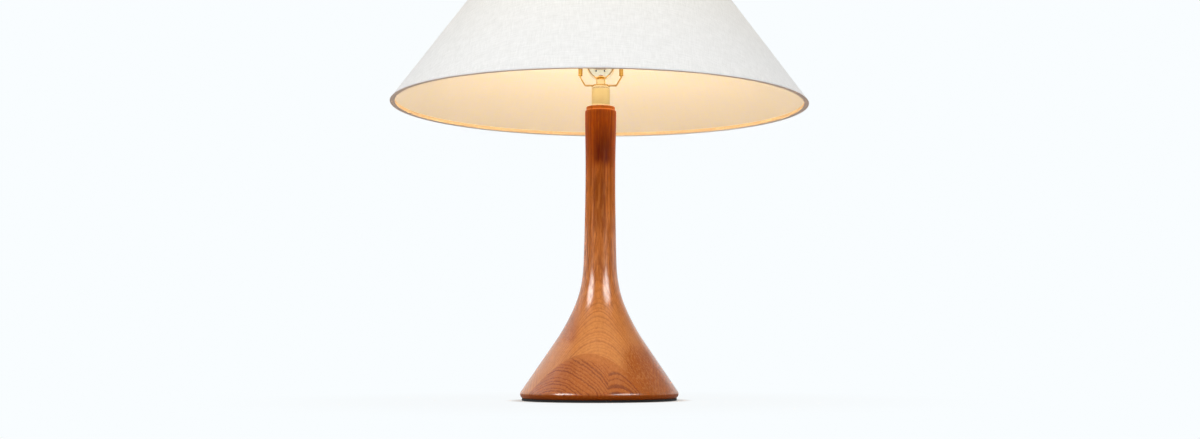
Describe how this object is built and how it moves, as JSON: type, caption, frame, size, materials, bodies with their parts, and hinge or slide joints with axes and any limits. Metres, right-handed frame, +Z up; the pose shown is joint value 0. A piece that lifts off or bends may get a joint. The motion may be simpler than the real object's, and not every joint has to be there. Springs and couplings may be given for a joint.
{
  "type": "column table lamp",
  "caption": "Table lamp with a turned wooden column flaring to a round foot, a brass neck and lamp holder, a harp and a wide conical linen shade.",
  "frame": {"origin": "centre of the base pad's underside, on the surface the lamp stands on", "axes": "+Z up along the column, -Y the front, +Y the side of the cord outlet, X in the plane of the harp"},
  "size_m": [0.4969, 0.497, 0.6017],
  "materials": {
    "teak": "satin oiled",
    "base_felt": "black felt pad",
    "satin_brass": "fine turned satin",
    "polished_brass": "polished",
    "zinc_steel": "zinc plated",
    "nickel_cap": "bright",
    "black_plastic": "moulded matte",
    "black_glass": "vitrite glass",
    "fibre_sleeve": "fibre board",
    "frosted_glass": "frosted",
    "clear_glass": "clear",
    "filament": "tungsten wire",
    "linen": "plain woven linen",
    "linen_hem": "turned-in linen edge",
    "liner": "pale laminated liner",
    "frame_wire": "white coated wire"
  },
  "bodies": {
    "lamp_base": {"teak_body": "teak", "base_pad": "base_felt", "cord_outlet_bushing": "black_plastic", "threaded_rod": "zinc_steel", "clamp_washer": "zinc_steel", "lock_washer": "zinc_steel", "rod_nut": "zinc_steel", "neck_foot_ring": "polished_brass", "brass_neck": "satin_brass", "neck_top_ring": "polished_brass", "harp_saddle": "polished_brass", "socket_cap": "polished_brass", "cap_set_screw": "zinc_steel", "socket_shell": "polished_brass", "insulating_sleeve": "fibre_sleeve", "socket_core": "black_plastic", "terminal_screws": "zinc_steel", "screw_shell": "polished_brass", "centre_contact": "polished_brass", "switch_bushing": "polished_brass"},
    "turn_switch": {"switch_rotor": "black_plastic", "switch_shaft": "zinc_steel", "switch_knob": "black_plastic"},
    "bulb": {"bulb_contact": "zinc_steel", "bulb_insulator": "black_glass", "bulb_cap": "nickel_cap", "bulb_glass": "frosted_glass", "bulb_stem": "clear_glass", "bulb_filament": "filament"},
    "harp": {"harp_wire": "polished_brass", "harp_stud": "polished_brass"},
    "ferrule_left": {"harp_ferrule_left": "polished_brass"},
    "ferrule_right": {"harp_ferrule_right": "polished_brass"},
    "shade": {"shade_linen": "linen", "shade_liner": "liner", "shade_bottom_wire": "frame_wire", "bottom_hem": "linen_hem", "top_hem": "linen_hem", "spider_frame": "frame_wire"},
    "finial": {"finial": "polished_brass"}
  },
  "joints": [
    {"name": "switch_turn", "type": "hinge", "parent": "lamp_base", "child": "turn_switch", "pos_m": [0, -0.02, 0.411], "axis": [0, -1, 0], "continuous": true},
    {"name": "bulb_lift", "type": "slide", "parent": "lamp_base", "child": "bulb", "axis": [0, 0, 1], "range_m": [0, 0.025]},
    {"name": "harp_lift", "type": "slide", "parent": "lamp_base", "child": "harp", "axis": [0, 0, 1], "range_m": [0, 0.025]},
    {"name": "ferrule_left_slide", "type": "slide", "parent": "harp", "child": "ferrule_left", "axis": [0, 0, 1], "range_m": [0, 0.012]},
    {"name": "ferrule_right_slide", "type": "slide", "parent": "harp", "child": "ferrule_right", "axis": [0, 0, 1], "range_m": [0, 0.012]},
    {"name": "shade_turn", "type": "hinge", "parent": "harp", "child": "shade", "pos_m": [0, 0, 0.569], "axis": [0, 0, 1], "continuous": true},
    {"name": "finial_lift", "type": "slide", "parent": "harp", "child": "finial", "axis": [0, 0, 1], "range_m": [0, 0.012]}
  ]
}
